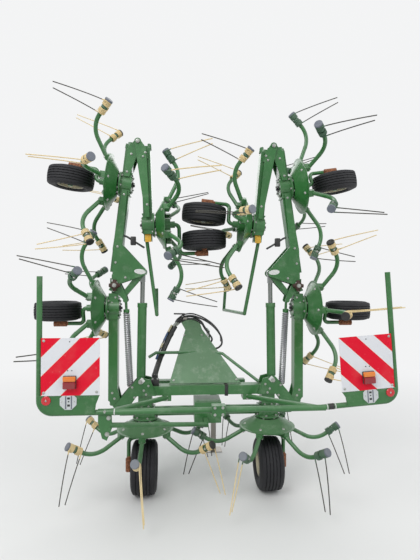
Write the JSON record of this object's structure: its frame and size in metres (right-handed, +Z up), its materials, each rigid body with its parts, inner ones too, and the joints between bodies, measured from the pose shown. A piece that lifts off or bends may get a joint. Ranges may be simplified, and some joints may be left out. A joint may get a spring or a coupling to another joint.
{
  "type": "hay tedder",
  "caption": "Mounted hay tedder with rotors of spring tines on folding wings, folded up for the road, with wheels, a three-point headstock, a parking stand and rear warning boards.",
  "frame": {"origin": "on the ground, midway between the two centre rotors, in the plane of the rotor axes", "axes": "+X to the right and +Y forward as seen from behind the machine, +Z up"},
  "size_m": [3.06, 1.7496, 3.5545],
  "materials": {
    "paint": "weathered green paint",
    "bare_steel": "dull steel with rust",
    "chrome": "polished rod",
    "tyre": "black rubber",
    "rim_paint": "cream paint",
    "tine_paint": "cream painted spring steel",
    "board": "reflective red and white stripes",
    "hose": "black rubber",
    "lamp": "red and amber lenses"
  },
  "bodies": {
    "root": {"main_frame": "paint", "centre_gearboxes": "paint", "headstock": "paint", "guard_frame": "paint", "boards": "board", "springs": "bare_steel", "lamps": "lamp", "hoses": "hose"},
    "parking_stand": {"parking_stand": "bare_steel"},
    "wing_inner_left": {"boom_inner_left": "paint", "gearbox_inner_left": "paint"},
    "wing_middle_left": {"boom_middle_left": "paint", "gearbox_middle_left": "paint"},
    "wing_outer_left": {"boom_outer_left": "paint", "gearbox_outer_left": "paint"},
    "barrel_left": {"barrel_left": "paint"},
    "rod_left": {"rod_left": "chrome"},
    "link_left": {"link_left": "paint"},
    "wing_inner_right": {"boom_inner_right": "paint", "gearbox_inner_right": "paint"},
    "wing_middle_right": {"boom_middle_right": "paint", "gearbox_middle_right": "paint"},
    "wing_outer_right": {"boom_outer_right": "paint", "gearbox_outer_right": "paint"},
    "barrel_right": {"barrel_right": "paint"},
    "rod_right": {"rod_right": "chrome"},
    "link_right": {"link_right": "paint"},
    "rotor_centre_left": {"rotor_centre_left": "paint", "tines_centre_left": "tine_paint"},
    "wheel_centre_left": {"tyre_centre_left": "tyre", "rim_centre_left": "rim_paint"},
    "rotor_centre_right": {"rotor_centre_right": "paint", "tines_centre_right": "tine_paint"},
    "wheel_centre_right": {"tyre_centre_right": "tyre", "rim_centre_right": "rim_paint"},
    "rotor_inner_left": {"rotor_inner_left": "paint", "tines_inner_left": "tine_paint"},
    "wheel_inner_left": {"tyre_inner_left": "tyre", "rim_inner_left": "rim_paint"},
    "rotor_inner_right": {"rotor_inner_right": "paint", "tines_inner_right": "tine_paint"},
    "wheel_inner_right": {"tyre_inner_right": "tyre", "rim_inner_right": "rim_paint"},
    "rotor_middle_left": {"rotor_middle_left": "paint", "tines_middle_left": "tine_paint"},
    "wheel_middle_left": {"tyre_middle_left": "tyre", "rim_middle_left": "rim_paint"},
    "rotor_middle_right": {"rotor_middle_right": "paint", "tines_middle_right": "tine_paint"},
    "wheel_middle_right": {"tyre_middle_right": "tyre", "rim_middle_right": "rim_paint"},
    "rotor_outer_left": {"rotor_outer_left": "paint", "tines_outer_left": "tine_paint"},
    "wheel_outer_left": {"tyre_outer_left": "tyre", "rim_outer_left": "rim_paint"},
    "rotor_outer_right": {"rotor_outer_right": "paint", "tines_outer_right": "tine_paint"},
    "wheel_outer_right": {"tyre_outer_right": "tyre", "rim_outer_right": "rim_paint"}
  },
  "joints": [
    {"name": "fold_left", "type": "hinge", "parent": "root", "child": "wing_inner_left", "pos_m": [-0.78, 0, 0.75], "axis": [0, -1, 0], "range_deg": [0, 90], "deforming": ["springs"]},
    {"name": "fold_middle_left", "type": "hinge", "parent": "wing_inner_left", "child": "wing_middle_left", "pos_m": [-0.805, 0, 1.84], "axis": [0, -1, 0], "range_deg": [0, 6.8]},
    {"name": "fold_outer_left", "type": "hinge", "parent": "wing_middle_left", "child": "wing_outer_left", "pos_m": [-0.61966, 0, 3.08179], "axis": [0, -1, 0], "range_deg": [0, 171]},
    {"name": "lift_left", "type": "hinge", "parent": "root", "child": "barrel_left", "pos_m": [-0.59, 0, 0.975], "axis": [0, -1, 0], "range_deg": [0, 92.21]},
    {"name": "lift_rod_left", "type": "slide", "parent": "barrel_left", "child": "rod_left", "axis": [0.013, 0, 0.9999], "range_m": [0, 0.44161]},
    {"name": "link_turn_left", "type": "hinge", "parent": "wing_inner_left", "child": "link_left", "pos_m": [-0.743, 0, 1.735], "axis": [0, -1, 0], "range_deg": [0, 5.58]},
    {"name": "fold_right", "type": "hinge", "parent": "root", "child": "wing_inner_right", "pos_m": [0.78, 0, 0.75], "axis": [0, 1, 0], "range_deg": [0, 90]},
    {"name": "fold_middle_right", "type": "hinge", "parent": "wing_inner_right", "child": "wing_middle_right", "pos_m": [0.805, 0, 1.84], "axis": [0, 1, 0], "range_deg": [0, 8.3]},
    {"name": "fold_outer_right", "type": "hinge", "parent": "wing_middle_right", "child": "wing_outer_right", "pos_m": [0.58722, 0, 3.07651], "axis": [0, 1, 0], "range_deg": [0, 166.5]},
    {"name": "lift_right", "type": "hinge", "parent": "root", "child": "barrel_right", "pos_m": [0.59, 0, 0.975], "axis": [0, 1, 0], "range_deg": [0, 92.37]},
    {"name": "lift_rod_right", "type": "slide", "parent": "barrel_right", "child": "rod_right", "axis": [-0.0157, 0, 0.9999], "range_m": [0, 0.44757]},
    {"name": "link_turn_right", "type": "hinge", "parent": "wing_inner_right", "child": "link_right", "pos_m": [0.743, 0, 1.735], "axis": [0, 1, 0], "range_deg": [0, 6.85]},
    {"name": "spin_centre_left", "type": "hinge", "parent": "root", "child": "rotor_centre_left", "pos_m": [-0.55, 0, 0.7], "axis": [0, 0, 1], "continuous": true},
    {"name": "roll_centre_left", "type": "hinge", "parent": "root", "child": "wheel_centre_left", "pos_m": [-0.55, -0.05, 0.2285], "axis": [-1, 0, 0], "continuous": true},
    {"name": "spin_centre_right", "type": "hinge", "parent": "root", "child": "rotor_centre_right", "pos_m": [0.55, 0, 0.7], "axis": [0, 0, 1], "continuous": true},
    {"name": "roll_centre_right", "type": "hinge", "parent": "root", "child": "wheel_centre_right", "pos_m": [0.55, -0.05, 0.2285], "axis": [1, 0, 0], "continuous": true},
    {"name": "spin_inner_left", "type": "hinge", "parent": "wing_inner_left", "child": "rotor_inner_left", "pos_m": [-0.83, 0, 1.62], "axis": [1, 0, 0], "continuous": true},
    {"name": "roll_inner_left", "type": "hinge", "parent": "wing_inner_left", "child": "wheel_inner_left", "pos_m": [-1.327, 0.05, 1.594], "axis": [0, 0, 1], "continuous": true},
    {"name": "spin_inner_right", "type": "hinge", "parent": "wing_inner_right", "child": "rotor_inner_right", "pos_m": [0.83, 0, 1.62], "axis": [-1, 0, 0], "continuous": true},
    {"name": "roll_inner_right", "type": "hinge", "parent": "wing_inner_right", "child": "wheel_inner_right", "pos_m": [1.327, 0.05, 1.594], "axis": [0, 0, 1], "continuous": true},
    {"name": "spin_middle_left", "type": "hinge", "parent": "wing_middle_left", "child": "rotor_middle_left", "pos_m": [-0.72563, 0, 2.71677], "axis": [0.993, 0, -0.1184], "continuous": true},
    {"name": "roll_middle_left", "type": "hinge", "parent": "wing_middle_left", "child": "wheel_middle_left", "pos_m": [-1.21913, 0.05, 2.77562], "axis": [0.1184, 0, 0.993], "continuous": true},
    {"name": "spin_middle_right", "type": "hinge", "parent": "wing_middle_right", "child": "rotor_middle_right", "pos_m": [0.70271, 0, 2.71439], "axis": [-0.9895, 0, -0.1444], "continuous": true},
    {"name": "roll_middle_right", "type": "hinge", "parent": "wing_middle_right", "child": "wheel_middle_right", "pos_m": [1.1945, 0.05, 2.78614], "axis": [-0.1444, 0, 0.9895], "continuous": true},
    {"name": "spin_outer_left", "type": "hinge", "parent": "wing_outer_left", "child": "rotor_outer_left", "pos_m": [-0.52988, 0, 2.3597], "axis": [-0.9993, 0, -0.0384], "continuous": true},
    {"name": "roll_outer_left", "type": "hinge", "parent": "wing_outer_left", "child": "wheel_outer_left", "pos_m": [-0.02764, 0.05, 2.23289], "axis": [0.0384, 0, -0.9993], "continuous": true},
    {"name": "spin_outer_right", "type": "hinge", "parent": "wing_outer_right", "child": "rotor_outer_right", "pos_m": [0.45977, 0, 2.36012], "axis": [0.9959, 0, -0.0906], "continuous": true},
    {"name": "roll_outer_right", "type": "hinge", "parent": "wing_outer_right", "child": "wheel_outer_right", "pos_m": [-0.02911, 0.05, 2.47188], "axis": [-0.0906, 0, -0.9959], "continuous": true},
    {"name": "stand_slide", "type": "slide", "parent": "root", "child": "parking_stand", "axis": [0, 0, 1], "range_m": [0, 0.3]}
  ],
  "couplings": [
    {"joint": "fold_middle_left", "follows": "fold_left", "ratio": 0.075556},
    {"joint": "fold_outer_left", "follows": "fold_left", "ratio": 1.9},
    {"joint": "lift_left", "follows": "fold_left", "ratio": 1.0245},
    {"joint": "lift_rod_left", "follows": "fold_left", "m_per_rad": 0.28114},
    {"joint": "link_turn_left", "follows": "fold_left", "ratio": 0.062039},
    {"joint": "fold_right", "follows": "fold_left", "ratio": 1},
    {"joint": "fold_middle_right", "follows": "fold_left", "ratio": 0.092222},
    {"joint": "fold_outer_right", "follows": "fold_left", "ratio": 1.85},
    {"joint": "lift_right", "follows": "fold_left", "ratio": 1.0263},
    {"joint": "lift_rod_right", "follows": "fold_left", "m_per_rad": 0.28493},
    {"joint": "link_turn_right", "follows": "fold_left", "ratio": 0.07606},
    {"joint": "spin_centre_left", "follows": "spin_centre_right", "ratio": -1},
    {"joint": "spin_inner_left", "follows": "spin_centre_right", "ratio": 1},
    {"joint": "spin_inner_right", "follows": "spin_centre_right", "ratio": -1},
    {"joint": "spin_middle_left", "follows": "spin_centre_right", "ratio": -1},
    {"joint": "spin_middle_right", "follows": "spin_centre_right", "ratio": 1},
    {"joint": "spin_outer_left", "follows": "spin_centre_right", "ratio": 1},
    {"joint": "spin_outer_right", "follows": "spin_centre_right", "ratio": -1}
  ]
}
